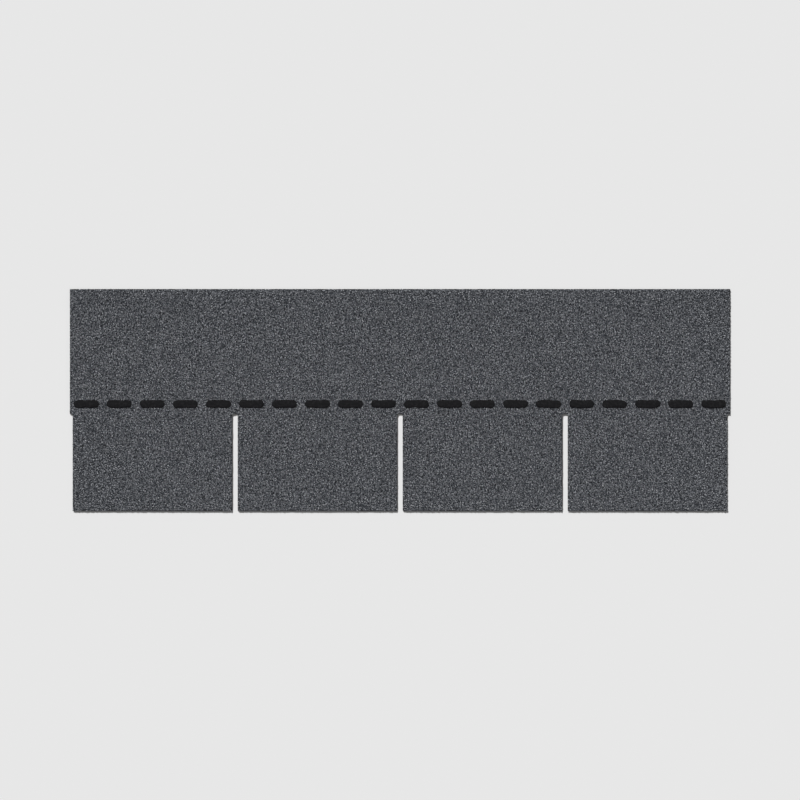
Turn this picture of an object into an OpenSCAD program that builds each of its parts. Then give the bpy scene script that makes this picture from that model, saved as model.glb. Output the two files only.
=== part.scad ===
// Asphalt strip shingle: one flat, granule-coated sheet whose lower edge is die-cut into square tabs.
// It lies face up, with the tabs towards -Y and its origin under the middle of the sheet.

/* [Sheet] */
// Length of the strip along the course
strip_length = 1000; // [800:5:1200]
// Height of the strip from its butt edge to its top edge
strip_height = 336; // [300:1:400]
// Thickness of the sheet, measured over its granules
sheet_thickness = 3; // [2:0.1:5]

/* [Tabs] */
// Number of tabs along the strip
tab_count = 4; // [2:1:6]
// Height of a tab that stays in view once the next course is laid
exposure = 145; // [120:1:160]
// Radius of the corners at a tab's butt edge
tab_corner_r = 1.5; // [0.5:0.1:4]

/* [Slots] */
// Width of the slot between two tabs
slot_width = 8.5; // [6:0.5:12]
// How far a slot runs on under the next course
slot_cover = 2; // [0.5:0.5:6]
// Radius of the corners at the inner end of a slot
slot_end_r = 2.5; // [0.5:0.1:2.9]

/* [Self-seal beads] */
// Length of one bead of sealant along the strip
bead_length = 38; // [20:1:60]
// Width of a bead
bead_width = 12; // [8:0.5:16]
// Height of a bead above the face
bead_height = 0.8; // [0.4:0.1:1.5]
// Width of the slope along each edge of a bead
bead_slope = 2; // [0.5:0.5:3]
// Gap between two beads
bead_gap = 12; // [6:1:30]
// Distance from the inner ends of the slots to the row of beads
bead_offset = 9; // [4:1:20]

/* [Hidden] */
$fn = 64;

// Amount by which a cutter runs past the face that it cuts
past = 1;

butt_y = -strip_height / 2;
tab_pitch = strip_length / tab_count;
slot_length = exposure + slot_cover;
slot_end_y = butt_y + slot_length;

bead_count = floor(strip_length / (bead_length + bead_gap));
bead_pitch = strip_length / bead_count;
bead_y = slot_end_y + bead_offset + bead_width / 2;

// Outline of one slot, from past the butt edge up to its round-cornered inner end
module slot_outline() {
    core_w = slot_width - 2 * slot_end_r;
    translate([-slot_width / 2, -past])
        square([slot_width, slot_length + past - slot_end_r]);
    translate([-core_w / 2, -past])
        square([core_w, slot_length + past]);
    for (side = [-1, 1])
        translate([side * core_w / 2, slot_length - slot_end_r])
            circle(slot_end_r);
}

// What a round corner takes off the butt edge of a tab, for the tab on the +X side of a slot
module corner_cut() {
    difference() {
        translate([-past, -past])
            square(tab_corner_r + past);
        translate([tab_corner_r, tab_corner_r])
            circle(tab_corner_r);
    }
}

// A slot with the two tab corners beside its mouth, centred on x = 0 and starting at y = 0
module slot_cutter() {
    slot_outline();
    for (side = [0, 1])
        mirror([side, 0])
            translate([slot_width / 2, 0])
                corner_cut();
}

// The sheet: a rectangle, less a slot at every tab boundary. The two at the ends are half slots,
// so that strips laid end to end make a whole slot.
module shingle_strip() {
    color([0.31, 0.32, 0.335])
        linear_extrude(sheet_thickness)
            difference() {
                translate([-strip_length / 2, butt_y])
                    square([strip_length, strip_height]);
                for (i = [0 : tab_count])
                    translate([i * tab_pitch - strip_length / 2, butt_y])
                        slot_cutter();
            }
}

// Half of a bead's section: flat below and on top, with a sloped edge
module half_section() {
    polygon([
        [0, 0],
        [bead_width / 2, 0],
        [bead_width / 2 - bead_slope, bead_height],
        [0, bead_height]
    ]);
}

// One bead of sealant along X: a bar of that section on both sides, with round ends
module bead() {
    bar = bead_length - bead_width;
    rotate([90, 0, 90])
        linear_extrude(bar, center = true)
            for (side = [0, 1])
                mirror([side, 0])
                    half_section();
    for (side = [-1, 1])
        translate([side * bar / 2, 0])
            rotate(-side * 90)
                rotate_extrude(angle = 180)
                    half_section();
}

// The row of beads that bonds the next course's tabs to this strip
module self_seal_beads() {
    color([0.03, 0.03, 0.032])
        for (i = [0 : bead_count - 1])
            translate([(i + 0.5) * bead_pitch - strip_length / 2, bead_y, sheet_thickness])
                bead();
}

shingle_strip();
self_seal_beads();
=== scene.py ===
import bmesh
import bpy
import numpy as np
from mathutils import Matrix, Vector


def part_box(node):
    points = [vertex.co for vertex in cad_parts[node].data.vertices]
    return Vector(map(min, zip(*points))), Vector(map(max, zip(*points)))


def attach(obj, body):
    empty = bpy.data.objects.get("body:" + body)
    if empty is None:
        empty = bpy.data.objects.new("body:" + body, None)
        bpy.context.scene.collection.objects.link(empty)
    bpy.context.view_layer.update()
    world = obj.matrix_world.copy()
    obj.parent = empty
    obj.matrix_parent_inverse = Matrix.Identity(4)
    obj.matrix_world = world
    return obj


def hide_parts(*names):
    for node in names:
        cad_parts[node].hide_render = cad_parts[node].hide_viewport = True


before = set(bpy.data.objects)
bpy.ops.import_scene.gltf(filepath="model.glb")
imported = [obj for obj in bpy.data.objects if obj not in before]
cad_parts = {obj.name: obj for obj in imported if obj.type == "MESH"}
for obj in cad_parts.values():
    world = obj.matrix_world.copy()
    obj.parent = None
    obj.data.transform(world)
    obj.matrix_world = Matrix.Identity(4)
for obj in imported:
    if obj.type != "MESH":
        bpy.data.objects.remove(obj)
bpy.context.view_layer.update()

# The asphalt sheet. A glass-fibre mat is soaked and coated on both sides with black filled bitumen, then
# rolled flat and die-cut into the strip with its tabs and slots. Its cut edges are bare and slightly torn.
# Its back is dusted with fine sand so that strips don't stick together, and its face takes the granules.
MM = 0.001  # the frame is in metres
TAB_COUNT = 4
SLOT_WIDTH = 8.5 * MM
SLOT_LENGTH = 147 * MM
SLOT_END_RADIUS = 2.5 * MM
TAB_CORNER_RADIUS = 1.5 * MM
CORNER_POINTS = 7
# How far the granules stand out of the asphalt
GRANULE_STAND = 0.8 * MM
# Section of the cut edge, from the face round to the back: how far it lies inside the die's line, and
# its height as a share of the asphalt's thickness
EDGE_INSET = np.array((0.60, 0.14, 0.02, 0.0, 0.02, 0.05, 0.20, 0.70)) * MM
EDGE_HEIGHT = np.array((1.0, 0.98, 0.90, 0.70, 0.45, 0.20, 0.04, 0.0))
# Way along the edge from one section to the next, and how far the cut is torn in and out
EDGE_STEP = 1.5 * MM
EDGE_TEAR = 0.10 * MM
# Sizes of the lumps in the finishes, and the depth of their relief
DUST_LUMP = 2.6 * MM
TEAR_LUMP = 0.7 * MM
TEAR_DEPTH = 0.25 * MM
SAND_GRAIN = 0.38 * MM
SAND_DEPTH = 0.08 * MM
# Colours by the height of those lumps, from bare asphalt to dust, and from asphalt to sand
ASPHALT_COLOURS = ((0.40, (0.011, 0.011, 0.012, 1)), (0.72, (0.030, 0.030, 0.031, 1)))
SAND_COLOURS = ((0.42, (0.028, 0.027, 0.026, 1)), (0.66, (0.200, 0.190, 0.170, 1)))
# Roughness from bare asphalt to dust and of the sand, and how strongly each mirrors
ASPHALT_ROUGHNESS = (0.70, 0.95)
SAND_ROUGHNESS = 0.92
ASPHALT_SPECULAR = 0.03
SAND_SPECULAR = 0.25
# Noise hardly leaves this range
NOISE_RANGE = (0.3, 0.7)
SEED = 2444

rng = np.random.default_rng(SEED)
strip_low, strip_high = (np.array(corner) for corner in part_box("shingle_strip"))
tab_pitch = (strip_high[0] - strip_low[0]) / TAB_COUNT
slot_end = strip_low[1] + SLOT_LENGTH
asphalt_top = strip_high[2] - GRANULE_STAND


def arc(x, y, radius, start, end, points):
    """Points of a circular arc about (x, y), as the angle goes from start to end in degrees."""
    angle = np.radians(np.linspace(start, end, points))
    return np.column_stack((x + radius * np.cos(angle), y + radius * np.sin(angle)))


def die_line():
    """The die's cutting line, anticlockwise from above: for each tab the slot corner on its left, its two
    butt corners and the slot corner on its right, and then the two ends and the top edge of the strip."""
    butt = strip_low[1] + TAB_CORNER_RADIUS
    turn = slot_end - SLOT_END_RADIUS
    runs = []
    for tab in range(TAB_COUNT):
        left = strip_low[0] + tab * tab_pitch + SLOT_WIDTH / 2
        right = left + tab_pitch - SLOT_WIDTH
        runs.append(arc(left - SLOT_END_RADIUS, turn, SLOT_END_RADIUS, 90, 0, CORNER_POINTS))
        runs.append(arc(left + TAB_CORNER_RADIUS, butt, TAB_CORNER_RADIUS, 180, 270, CORNER_POINTS))
        runs.append(arc(right - TAB_CORNER_RADIUS, butt, TAB_CORNER_RADIUS, 270, 360, CORNER_POINTS))
        runs.append(arc(right + SLOT_END_RADIUS, turn, SLOT_END_RADIUS, 180, 90, CORNER_POINTS))
    right_end = [(strip_high[0], slot_end), (strip_high[0], strip_high[1])]
    left_end = [(strip_low[0], strip_high[1]), (strip_low[0], slot_end)]
    return np.vstack(runs + [right_end, left_end])


def walk(corners, step):
    """Points along a closed line: its corners, and the points that part each stretch between two of them
    evenly, at about that step."""
    following = np.roll(corners, -1, axis=0)
    parts = np.maximum(1, np.round(np.linalg.norm(following - corners, axis=1) / step)).astype(int)
    start, end = np.repeat(corners, parts, axis=0), np.repeat(following, parts, axis=0)
    share = np.concatenate([np.arange(count) / count for count in parts])
    return start + share[:, None] * (end - start)


def outward_of(line):
    """Unit normals of a closed line that runs anticlockwise: the way along it, turned a quarter right."""
    along = np.roll(line, -1, axis=0) - np.roll(line, 1, axis=0)
    right = np.column_stack((along[:, 1], -along[:, 0]))
    return right / np.linalg.norm(right, axis=1, keepdims=True)


def belt(around, across):
    """Faces of a grid that closes on itself in its first direction, where each row of points across it
    runs from the top down: four neighbours make a face, anticlockwise from outside."""
    i, j = np.meshgrid(np.arange(around), np.arange(across - 1), indexing="ij")
    here, there = i * across + j, (i + 1) % around * across + j
    return np.stack((here + 1, there + 1, there, here), axis=-1).reshape(-1, 4)


def make_piece(name, mesh):
    """Links a mesh as a piece that moves with the strip and takes its finish from the mesh's own materials.
    """
    piece = bpy.data.objects.new(name, mesh)
    bpy.context.scene.collection.objects.link(piece)
    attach(piece, "root")
    return piece


def put_node(tree, kind, inputs=(), **properties):
    """Adds a node with these inputs and properties. An input that is another node's output is linked to
    it, and any other is set."""
    node = tree.nodes.new(kind)
    for key, value in properties.items():
        setattr(node, key, value)
    for key, value in dict(inputs).items():
        if isinstance(value, bpy.types.NodeSocket):
            tree.links.new(value, node.inputs[key])
        else:
            node.inputs[key].default_value = value
    return node


def bare_material(name):
    """A new material without nodes, and its node tree."""
    material = bpy.data.materials.new(name)
    material.use_nodes = True
    material.node_tree.nodes.clear()
    return material, material.node_tree


def coat(tree, inputs):
    """Ends a material's tree with a Principled shader that has these inputs."""
    shader = put_node(tree, "ShaderNodeBsdfPrincipled", inputs)
    put_node(tree, "ShaderNodeOutputMaterial", {"Surface": shader.outputs["BSDF"]})


def noise(tree, lump, detail=2.0):
    """Noise on the object's own coordinates: lumps of about that size, with detail as the number of finer
    layers of lumps on them."""
    place = put_node(tree, "ShaderNodeTexCoord").outputs["Object"]
    inputs = {"Vector": place, "Scale": 1 / lump, "Detail": detail}
    return put_node(tree, "ShaderNodeTexNoise", inputs).outputs["Fac"]


def spread(tree, lumps, ends):
    """Values that go evenly from one end to the other as noise goes through its range."""
    inputs = {"Value": lumps}
    inputs["From Min"], inputs["From Max"] = NOISE_RANGE
    inputs["To Min"], inputs["To Max"] = ends
    return put_node(tree, "ShaderNodeMapRange", inputs).outputs["Result"]


def ramp(tree, factor, stops):
    """Colours read from (place, colour) stops by a factor. A new ramp has two stops, and the others are
    added at its end before each gets its own place."""
    node = put_node(tree, "ShaderNodeValToRGB", {"Fac": factor})
    elements = node.color_ramp.elements
    while len(elements) < len(stops):
        elements.new(1.0)
    for element, (place, colour) in zip(elements, stops):
        element.position = place
        element.color = colour
    return node.outputs["Color"]


def relief(tree, lumps, depth):
    """Normals of a surface that noise raises by up to that depth."""
    return put_node(tree, "ShaderNodeBump", {"Height": lumps, "Distance": depth}).outputs["Normal"]


def asphalt_material():
    """Black bitumen with a film of stone dust in patches, torn and grainy where the die cut it."""
    material, tree = bare_material("cut_asphalt")
    dust = noise(tree, DUST_LUMP, detail=4.0)
    coat(tree, {
        "Base Color": ramp(tree, dust, ASPHALT_COLOURS),
        "Roughness": spread(tree, dust, ASPHALT_ROUGHNESS),
        "Specular IOR Level": ASPHALT_SPECULAR,
        "Normal": relief(tree, noise(tree, TEAR_LUMP, detail=3.0), TEAR_DEPTH),
    })
    return material


def sanded_back_material():
    """Fine sand pressed into bitumen, as pale and dark specks."""
    material, tree = bare_material("sanded_back")
    specks = noise(tree, SAND_GRAIN, detail=1.0)
    coat(tree, {
        "Base Color": ramp(tree, specks, SAND_COLOURS),
        "Roughness": SAND_ROUGHNESS,
        "Specular IOR Level": SAND_SPECULAR,
        "Normal": relief(tree, specks, SAND_DEPTH),
    })
    return material


# The cut edge is its section carried round the die's line, with each point torn in or out of it. The first
# points of all the sections then close the face, and the last ones the back
cut_line = walk(die_line(), EDGE_STEP)
edge_points = len(EDGE_INSET)
outward = rng.normal(0, EDGE_TEAR, (len(cut_line), edge_points)) - EDGE_INSET
edge = np.empty((len(cut_line), edge_points, 3))
edge[..., :2] = cut_line[:, None] + outward_of(cut_line)[:, None] * outward[..., None]
edge[..., 2] = strip_low[2] + EDGE_HEIGHT * (asphalt_top - strip_low[2])
face_ring = np.arange(len(cut_line)) * edge_points
back_ring = face_ring[::-1] + edge_points - 1

sheet_mesh = bpy.data.meshes.new("asphalt_sheet")
sheet_faces = belt(len(cut_line), edge_points).tolist() + [face_ring.tolist(), back_ring.tolist()]
sheet_mesh.from_pydata(edge.reshape(-1, 3), [], sheet_faces)
sheet_mesh.materials.append(asphalt_material())
sheet_mesh.materials.append(sanded_back_material())
# The back is the last face, and takes the second finish
sheet_mesh.polygons[-1].material_index = 1
asphalt_sheet = make_piece("asphalt_sheet", sheet_mesh)
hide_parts("shingle_strip")

# The granules. Crushed stone of one to two millimetres with a fired blue-grey ceramic coat is poured on the
# hot asphalt until it covers the face, and rollers press it in. Black, dark, grey and pale grains are
# blended to give the face its colour. The die breaks the grains on its line, and knocks some out.
GRANULE_PITCH = 1.48 * MM
# Squares of a grid at that pitch, one grain in each, that reach past each edge of the strip
SPILL = 2
# Rounds in which the grains are shaken apart, how many squares off a grain still pushes another, and the
# share of what the gap between them lacks of the pitch that each then moves
SHAKES = 6
SHAKE_REACH = 2
SHAKE_SHARE = 0.35
# A grain is a wedge with three base corners and, between them, the two ends of its ridge. Which of its
# corners are on the ridge, counted round it, and the corners of each of its faces
ON_RIDGE = np.array((False, True, False, True, False))
GRAIN_FACES = np.array(((0, 2, 1), (1, 2, 3), (2, 4, 3), (1, 3, 4), (4, 0, 1), (0, 4, 2)))
GRAIN_CORNERS = len(ON_RIDGE)
# Radius of the base and of the ridge as shares of the pitch
BASE_RADIUS = 0.90
RIDGE_RADIUS = 0.48
# How far corners and grains differ: spread of a corner's radius, of its turn in radians and of a grain's
# radius, and the most spreads by which a radius may differ
CORNER_SPREAD = 0.18
CORNER_TURN = 0.22
GRAIN_SPREAD = 0.16
MOST_SPREADS = 2.5
# Depth of a grain in the asphalt, and the height of its ridge over it
GRANULE_BED = 0.2 * MM
RIDGE_HEIGHT = (0.50 * MM, 0.90 * MM)
# How far a grain that the die broke stands past its line, the reach in which some are knocked out, and
# the share of them that are
GRANULE_BREAK = (-0.25 * MM, 0.35 * MM)
KNOCK_REACH = 0.7 * MM
KNOCKED_OUT = 0.3
# How much a grain's place in the blend keeps away from its neighbours', and the colours of the blend from
# its darkest grain to its palest, by share of the grains
STIRRED = 0.3
GRANULE_BLEND = (
    (0.00, (0.023, 0.025, 0.030, 1)),
    (0.20, (0.056, 0.061, 0.071, 1)),
    (0.60, (0.137, 0.144, 0.158, 1)),
    (0.90, (0.238, 0.246, 0.264, 1)),
    (1.00, (0.444, 0.454, 0.478, 1)),
)
# The coat's mottling: size of its patches, and how far they change a grain's colour and its roughness
MOTTLE_LUMP = 0.7 * MM
MOTTLE_SHADE = (0.75, 1.25)
GRANULE_ROUGHNESS = (0.95, 0.70)
GRANULE_SPECULAR = 0.12
# Size and depth of the lumps on a grain's broken surface
BROKEN_LUMP = 0.3 * MM
BROKEN_DEPTH = 0.04 * MM
# Bare rim of each grain's own square on the map for its baked colour, as a share of the square
MAP_RIM = 0.2


def next_squares(reach):
    """Steps from a square of a grid to all the others round it, up to that reach."""
    steps = range(-reach, reach + 1)
    return [(i, j) for i in steps for j in steps if (i, j) != (0, 0)]


def poured_grains():
    """Middles of the grains on the whole strip: one at random in each square of a grid, and then all
    shaken apart, each stepping away from every neighbour by a share of what it lacks of the pitch."""
    first = strip_low[:2] - SPILL * GRANULE_PITCH
    across, up = np.ceil((strip_high[:2] - first) / GRANULE_PITCH).astype(int) + SPILL
    squares = np.stack(np.meshgrid(np.arange(across), np.arange(up), indexing="ij"), axis=-1)
    grains = first + (squares + rng.random(squares.shape)) * GRANULE_PITCH
    for _ in range(SHAKES):
        step = np.zeros_like(grains)
        for neighbour in next_squares(SHAKE_REACH):
            away = grains - np.roll(grains, neighbour, axis=(0, 1))
            gap = np.linalg.norm(away, axis=-1, keepdims=True)
            step += away / gap * np.maximum(0, GRANULE_PITCH - gap)
        grains += SHAKE_SHARE * step
    return grains


def blended(shape):
    """Each grain's place in the blend, from 0 to 1: its rank by a random number less a share of the mean of
    its neighbours' numbers, because like grains seldom lie together in a well-stirred blend."""
    number = rng.random(shape)
    beside = np.mean([np.roll(number, neighbour, axis=(0, 1)) for neighbour in next_squares(1)], axis=0)
    rank = (number - STIRRED * beside).argsort(axis=None).argsort()
    return rank / rank.size


def from_slot(points):
    """Distance of points from the nearest slot, less than zero inside it, and the way out of it. A slot's
    inner corners are round: past a corner's middle both ways, the distance is from that middle, less the
    radius, and elsewhere it is from the slot's side or end, whichever is further out."""
    slot = strip_low[0] + np.round((points[..., 0] - strip_low[0]) / tab_pitch) * tab_pitch
    across = points[..., 0] - slot
    beside = np.abs(across) - SLOT_WIDTH / 2 + SLOT_END_RADIUS
    beyond = points[..., 1] - slot_end + SLOT_END_RADIUS
    round_corner = (beside > 0) & (beyond > 0)
    from_middle = np.where(round_corner, np.hypot(beside, beyond), np.maximum(beside, beyond))
    sideways = np.where(round_corner, beside / from_middle, beside >= beyond)
    upward = np.where(round_corner, beyond / from_middle, beside < beyond)
    return from_middle - SLOT_END_RADIUS, np.stack((np.sign(across) * sideways, upward), axis=-1)


def kept_by_die(grains):
    """Which grains stay on the strip: those inside the die's line, less some that lie close to it."""
    inside = np.minimum(grains - strip_low[:2], strip_high[:2] - grains).min(axis=1)
    inside = np.minimum(inside, from_slot(grains)[0])
    held = rng.random(len(grains)) > KNOCKED_OUT
    return (inside > KNOCK_REACH) | (inside > 0) & held


def varied(share, shape):
    """Random factors about one, with that share as their spread and no wild ones."""
    return 1 + share * rng.normal(0, 1, shape).clip(-MOST_SPREADS, MOST_SPREADS)


def crush(grains):
    """Corners of each grain, which stand round its middle a fifth of a turn apart. Each has its own share
    of the radius, turn and height: base corners lie in the asphalt, and ridge corners stand over it."""
    shape = (len(grains), GRAIN_CORNERS)
    turn = np.arange(GRAIN_CORNERS) * 2 * np.pi / GRAIN_CORNERS + rng.normal(0, CORNER_TURN, shape)
    turn = turn + rng.uniform(0, 2 * np.pi, (len(grains), 1))
    radius = GRANULE_PITCH * np.where(ON_RIDGE, RIDGE_RADIUS, BASE_RADIUS)
    radius = radius * varied(GRAIN_SPREAD, (len(grains), 1)) * varied(CORNER_SPREAD, shape)
    height = np.where(ON_RIDGE, rng.uniform(*RIDGE_HEIGHT, shape), -GRANULE_BED)
    x = grains[:, :1] + radius * np.cos(turn)
    y = grains[:, 1:] + radius * np.sin(turn)
    return np.stack((x, y, asphalt_top + height), axis=-1)


def broken_by_die(corners):
    """Corners brought back to the die's line, or to each grain's own break beside it: out of a slot by
    the shortest way, and into the strip's box."""
    reach = rng.uniform(*GRANULE_BREAK, (len(corners), 1, 1))
    distance, way_out = from_slot(corners)
    flat = corners[..., :2] + way_out * np.maximum(0, -reach - distance[..., None])
    flat = flat.clip(strip_low[:2] - reach, strip_high[:2] + reach)
    return np.concatenate((flat, corners[..., 2:]), axis=-1)


def granule_material():
    """Ceramic-coated stone: each grain takes its colour from the blend by its own number, with a mottled
    coat that is matt in places and slightly glazed in others, over a rough broken surface."""
    material, tree = bare_material("granule_coat")
    share = put_node(tree, "ShaderNodeAttribute", attribute_name="blend_share").outputs["Fac"]
    mottle = noise(tree, MOTTLE_LUMP, detail=3.0)
    factors = {0: ramp(tree, share, GRANULE_BLEND), 1: spread(tree, mottle, MOTTLE_SHADE)}
    mottled = put_node(tree, "ShaderNodeVectorMath", factors, operation="MULTIPLY")
    coat(tree, {
        "Base Color": mottled.outputs["Vector"],
        "Roughness": spread(tree, mottle, GRANULE_ROUGHNESS),
        "Specular IOR Level": GRANULE_SPECULAR,
        "Normal": relief(tree, noise(tree, BROKEN_LUMP), BROKEN_DEPTH),
    })
    return material


def grain_squares(corners):
    """Places on the map for the baked colour, where each grain has a square of its own in a square of
    squares, and fills it from above up to its rim, so that no grain takes its neighbour's colour."""
    squares = int(np.ceil(np.sqrt(len(corners))))
    number = np.arange(len(corners))[:, None]
    square = np.stack((number % squares, number // squares), axis=-1)
    low = corners[..., :2].min(axis=1, keepdims=True)
    high = corners[..., :2].max(axis=1, keepdims=True)
    within = (corners[..., :2] - low) / (high - low)
    return (square + MAP_RIM + (1 - 2 * MAP_RIM) * within) / squares


def granule_mesh(name, corners, shares):
    """One mesh of many grains: their corners in a row, each grain's faces counted on from its first
    corner, its share of the blend on all its corners, and the map for its baked colour."""
    mesh = bpy.data.meshes.new(name)
    faces = (np.arange(len(corners))[:, None, None] * GRAIN_CORNERS + GRAIN_FACES).reshape(-1, 3)
    mesh.vertices.add(len(corners) * GRAIN_CORNERS)
    mesh.vertices.foreach_set("co", corners.astype(np.float32).ravel())
    mesh.loops.add(faces.size)
    mesh.loops.foreach_set("vertex_index", faces.astype(np.int32).ravel())
    mesh.polygons.add(len(faces))
    mesh.polygons.foreach_set("loop_start", np.arange(0, faces.size, faces.shape[1], dtype=np.int32))
    share = mesh.attributes.new("blend_share", "FLOAT", "POINT")
    share.data.foreach_set("value", np.repeat(shares, GRAIN_CORNERS).astype(np.float32))
    places = grain_squares(corners).reshape(-1, 2)[faces.ravel()]
    mesh.uv_layers.new(name="OFBake").data.foreach_set("uv", places.astype(np.float32).ravel())
    mesh.update(calc_edges=True)
    return mesh


# The grains are one pour, parted into a piece for each tab and for each quarter of the headlap over them
poured = poured_grains()
blend_shares = blended(poured.shape[:2])
poured = poured.reshape(-1, 2)
kept = kept_by_die(poured)
grains = poured[kept]
blend_shares = blend_shares[kept]
grain_corners = broken_by_die(crush(grains))
granule_coat = granule_material()
column = ((grains[:, 0] - strip_low[0]) / tab_pitch).astype(int)
on_headlap = grains[:, 1] > slot_end
for part, rows in (("tab", ~on_headlap), ("headlap", on_headlap)):
    for tab in range(TAB_COUNT):
        chosen = rows & (column == tab)
        name = f"granules_{part}_{tab + 1}"
        mesh = granule_mesh(name, grain_corners[chosen], blend_shares[chosen])
        mesh.materials.append(granule_coat)
        make_piece(name, mesh)

# The self-seal beads. Soft bitumen adhesive is laid on the granules by a heated wheel as a row of short
# beads, just above the slots. The sun later melts each onto the tab that covers it. A bead is black and
# flat on top, with the granules' lumps showing through, and runs a little unevenly round its edge.
BEAD_LENGTH = 38 * MM
BEAD_WIDTH = 12 * MM
BEAD_GAP = 12 * MM
# How deep a bead lies in the granules
BEAD_DEPTH = 0.5 * MM
# Way between two points on a bead's straight side, and the points on its round end
BEAD_STEP = 0.9 * MM
BEAD_END_POINTS = 19
# Section of a bead from the middle of its top out, down and back under: share of its half width, and
# share of its height over the granules, where the last two points are at its bed in them
BEAD_OUT = np.array((0.0, 0.30, 0.58, 0.78, 0.90, 0.97, 1.0, 0.96, 0.0))
BEAD_RISE = np.array((1.0, 0.98, 0.92, 0.78, 0.58, 0.32, 0.0))
# How far the edge runs in and out, as a share of the half width, and the top swells, as a share of the
# height, with the lengths of the waves that do it
EDGE_RUN = 0.045
RUN_LENGTHS = (6 * MM, 20 * MM)
TOP_SWELL = 0.08
SWELL_LENGTHS = (3.5 * MM, 9 * MM)
RIPPLE_WAVES = 14
# Points nearer than this are one point
SEAM = 0.001 * MM
# Colours from clean bitumen to dust, by the height of the lumps in which dust has settled
BITUMEN_COLOURS = ((0.45, (0.009, 0.009, 0.010, 1)), (0.75, (0.020, 0.020, 0.021, 1)))
BITUMEN_ROUGHNESS = (0.75, 0.95)
BITUMEN_SPECULAR = 0.05
SETTLED_LUMP = 3.8 * MM
# Size and depth of the granules' lumps that show through
DIMPLE_LUMP = 2.0 * MM
DIMPLE_DEPTH = 0.6 * MM


def bead_edge(half_bar, radius):
    """A bead's edge round its middle, anticlockwise: half-round ends and two straight sides, whose points
    face each other across the bead."""
    side = np.arange(-half_bar, half_bar, BEAD_STEP)[1:]
    side = side - side.mean()
    right_end = arc(half_bar, 0, radius, -90, 90, BEAD_END_POINTS)
    left_end = arc(-half_bar, 0, radius, 90, 270, BEAD_END_POINTS)
    far_side = np.column_stack((side[::-1], np.full(len(side), radius)))
    near_side = np.column_stack((side, np.full(len(side), -radius)))
    return np.vstack((right_end, far_side, left_end, near_side))


def ripple(x, y, lengths):
    """Smooth unevenness of about unit size: waves of several lengths and directions, summed."""
    length = rng.uniform(*lengths, RIPPLE_WAVES)
    heading = rng.uniform(0, 2 * np.pi, RIPPLE_WAVES)
    start = rng.uniform(0, 2 * np.pi, RIPPLE_WAVES)
    along = x[..., None] * np.cos(heading) + y[..., None] * np.sin(heading)
    return np.sin(2 * np.pi * along / length + start).sum(axis=-1) / np.sqrt(RIPPLE_WAVES / 2)


def bead_row():
    """Points of all the beads, as bead, place round its edge, and place on its section. The section runs
    from the middle line of the bead's bar out to its edge, so a point is on that line plus a share of the
    way to the edge. Edge and top swell with ripples."""
    low, high = (np.array(corner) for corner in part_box("self_seal_beads"))
    count = round((high[0] - low[0] + BEAD_GAP) / (BEAD_LENGTH + BEAD_GAP))
    half_bar = (BEAD_LENGTH - BEAD_WIDTH) / 2
    edge = bead_edge(half_bar, BEAD_WIDTH / 2)
    spine = np.column_stack((edge[:, 0].clip(-half_bar, half_bar), np.zeros(len(edge))))
    middles = np.column_stack((
        np.linspace(low[0] + BEAD_LENGTH / 2, high[0] - BEAD_LENGTH / 2, count),
        np.full(count, (low[1] + high[1]) / 2),
    ))
    place = middles[:, None] + edge
    run = 1 + EDGE_RUN * ripple(place[..., 0], place[..., 1], RUN_LENGTHS)
    reach = (edge - spine) * run[..., None]
    beads = np.empty((count, len(edge), len(BEAD_OUT), 3))
    beads[..., :2] = (middles[:, None] + spine)[:, :, None] + reach[:, :, None] * BEAD_OUT[:, None]
    swell = ripple(beads[..., 0], beads[..., 1], SWELL_LENGTHS).clip(-1, 1)
    swell = 1 - TOP_SWELL + TOP_SWELL * swell
    top_points = len(BEAD_RISE)
    beads[:, :, :top_points, 2] = low[2] + BEAD_RISE * (high[2] - low[2]) * swell[:, :, :top_points]
    beads[:, :, top_points:, 2] = low[2] - BEAD_DEPTH
    return beads


def close_seams(mesh):
    """Merges points that lie together, so that the two sides of a seam share them and poles close."""
    merged = bmesh.new()
    merged.from_mesh(mesh)
    bmesh.ops.remove_doubles(merged, verts=merged.verts, dist=SEAM)
    merged.to_mesh(mesh)
    merged.free()


def bead_material():
    """Soft bitumen: black, with a faint gloss that is duller where dust has settled on it."""
    material, tree = bare_material("sealant_bitumen")
    dust = noise(tree, SETTLED_LUMP, detail=3.0)
    coat(tree, {
        "Base Color": ramp(tree, dust, BITUMEN_COLOURS),
        "Roughness": spread(tree, dust, BITUMEN_ROUGHNESS),
        "Specular IOR Level": BITUMEN_SPECULAR,
        "Normal": relief(tree, noise(tree, DIMPLE_LUMP), DIMPLE_DEPTH),
    })
    return material


# Each bead's faces are counted on from its own first point
beads = bead_row()
bead_count, around, across = beads.shape[:3]
bead_faces = belt(around, across) + np.arange(bead_count)[:, None, None] * around * across
bead_mesh = bpy.data.meshes.new("sealant_beads")
bead_mesh.from_pydata(beads.reshape(-1, 3), [], bead_faces.reshape(-1, 4).tolist())
close_seams(bead_mesh)
bead_mesh.polygons.foreach_set("use_smooth", np.ones(len(bead_mesh.polygons), bool))
bead_mesh.materials.append(bead_material())
sealant_beads = make_piece("sealant_beads", bead_mesh)
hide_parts("self_seal_beads")

# The floor: a wide board with a matt pale coat, which the strip lies on. It isn't part of the strip, and
# only takes its shadow.
FLOOR_HALF = 30.0  # half its side, in metres
FLOOR_PALE = (0.80, 0.80, 0.80, 1)

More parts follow.
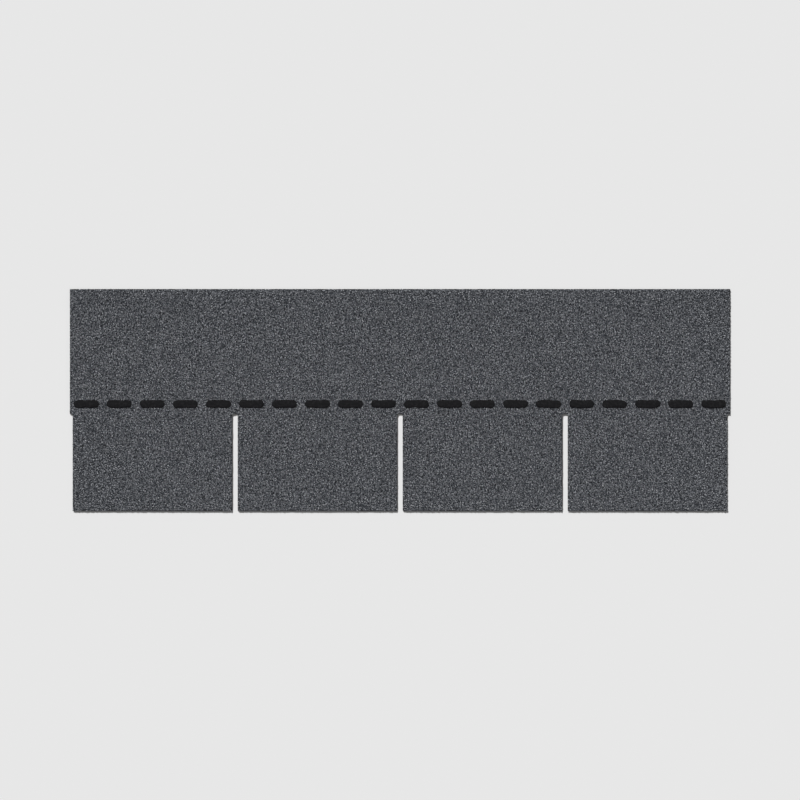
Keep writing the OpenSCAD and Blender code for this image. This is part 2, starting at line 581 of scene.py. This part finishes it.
floor_mesh = bpy.data.meshes.new("floor")
floor_corners = np.array(((-1, -1, 0), (1, -1, 0), (1, 1, 0), (-1, 1, 0))) * FLOOR_HALF
floor_mesh.from_pydata(floor_corners, [], [(0, 1, 2, 3)])
floor_finish, floor_tree = bare_material("floor_board")
coat(floor_tree, {"Base Color": FLOOR_PALE, "Roughness": 1.0, "Specular IOR Level": 0.0})
floor_mesh.materials.append(floor_finish)
floor = bpy.data.objects.new("floor", floor_mesh)
bpy.context.scene.collection.objects.link(floor)

# The light: one broad lamp high on the left beyond the top edge, and an even glow from all round.
# Together they light a level surface at one, so that a colour comes out as it is written. The backdrop is
# as pale as the floor, for the eye and for reflections.
KEY_SHARE = 0.80  # of the light on a level surface
KEY_FROM = np.array((-0.50, 1.00, 0.75))  # the way to the lamp
KEY_SPREAD = 6  # how broad it looks, in degrees
GLOW_WHITE = (1, 1, 1, 1)

key_way = KEY_FROM / np.linalg.norm(KEY_FROM)
key_data = bpy.data.lights.new("key_lamp", "SUN")
key_data.energy = KEY_SHARE * np.pi / key_way[2]
key_data.angle = np.radians(KEY_SPREAD)
key_lamp = bpy.data.objects.new("key_lamp", key_data)
# It shines straight down until it is tilted by its angle from the upright, and turned to its side
key_lamp.rotation_euler = (np.arccos(key_way[2]), 0, np.arctan2(key_way[0], -key_way[1]))
bpy.context.scene.collection.objects.link(key_lamp)

world = bpy.data.worlds.new("studio")
bpy.context.scene.world = world
world.use_nodes = True
studio = world.node_tree
studio.nodes.clear()
glow = put_node(studio, "ShaderNodeBackground", {"Color": GLOW_WHITE, "Strength": 1 - KEY_SHARE})
backdrop = put_node(studio, "ShaderNodeBackground", {"Color": FLOOR_PALE})
rays = put_node(studio, "ShaderNodeLightPath").outputs
seen = rays["Is Camera Ray"]
for ray in ("Is Glossy Ray", "Is Transmission Ray"):
    either = {0: seen, 1: rays[ray]}
    seen = put_node(studio, "ShaderNodeMath", either, operation="MAXIMUM").outputs["Value"]
shades = {"Fac": seen, 1: glow.outputs["Background"], 2: backdrop.outputs["Background"]}
surround = put_node(studio, "ShaderNodeMixShader", shades)
put_node(studio, "ShaderNodeOutputWorld", {"Surface": surround.outputs["Shader"]})

# The camera: straight above the face, as in the photograph, with the top edge up. A tab is as wide in the
# picture as there.
PICTURE_PIXELS = 800
TAB_PIXELS = 165.1
LENS = 85  # millimetres, as the sensor
SENSOR = 36

camera_data = bpy.data.cameras.new("camera")
camera_data.lens = LENS
camera_data.sensor_width = SENSOR
camera = bpy.data.objects.new("camera", camera_data)
picture_width = PICTURE_PIXELS / TAB_PIXELS * tab_pitch
camera.location = (0, 0, strip_high[2] + picture_width * LENS / SENSOR)
bpy.context.scene.collection.objects.link(camera)
bpy.context.scene.camera = camera
bpy.context.scene.view_settings.view_transform = "Standard"
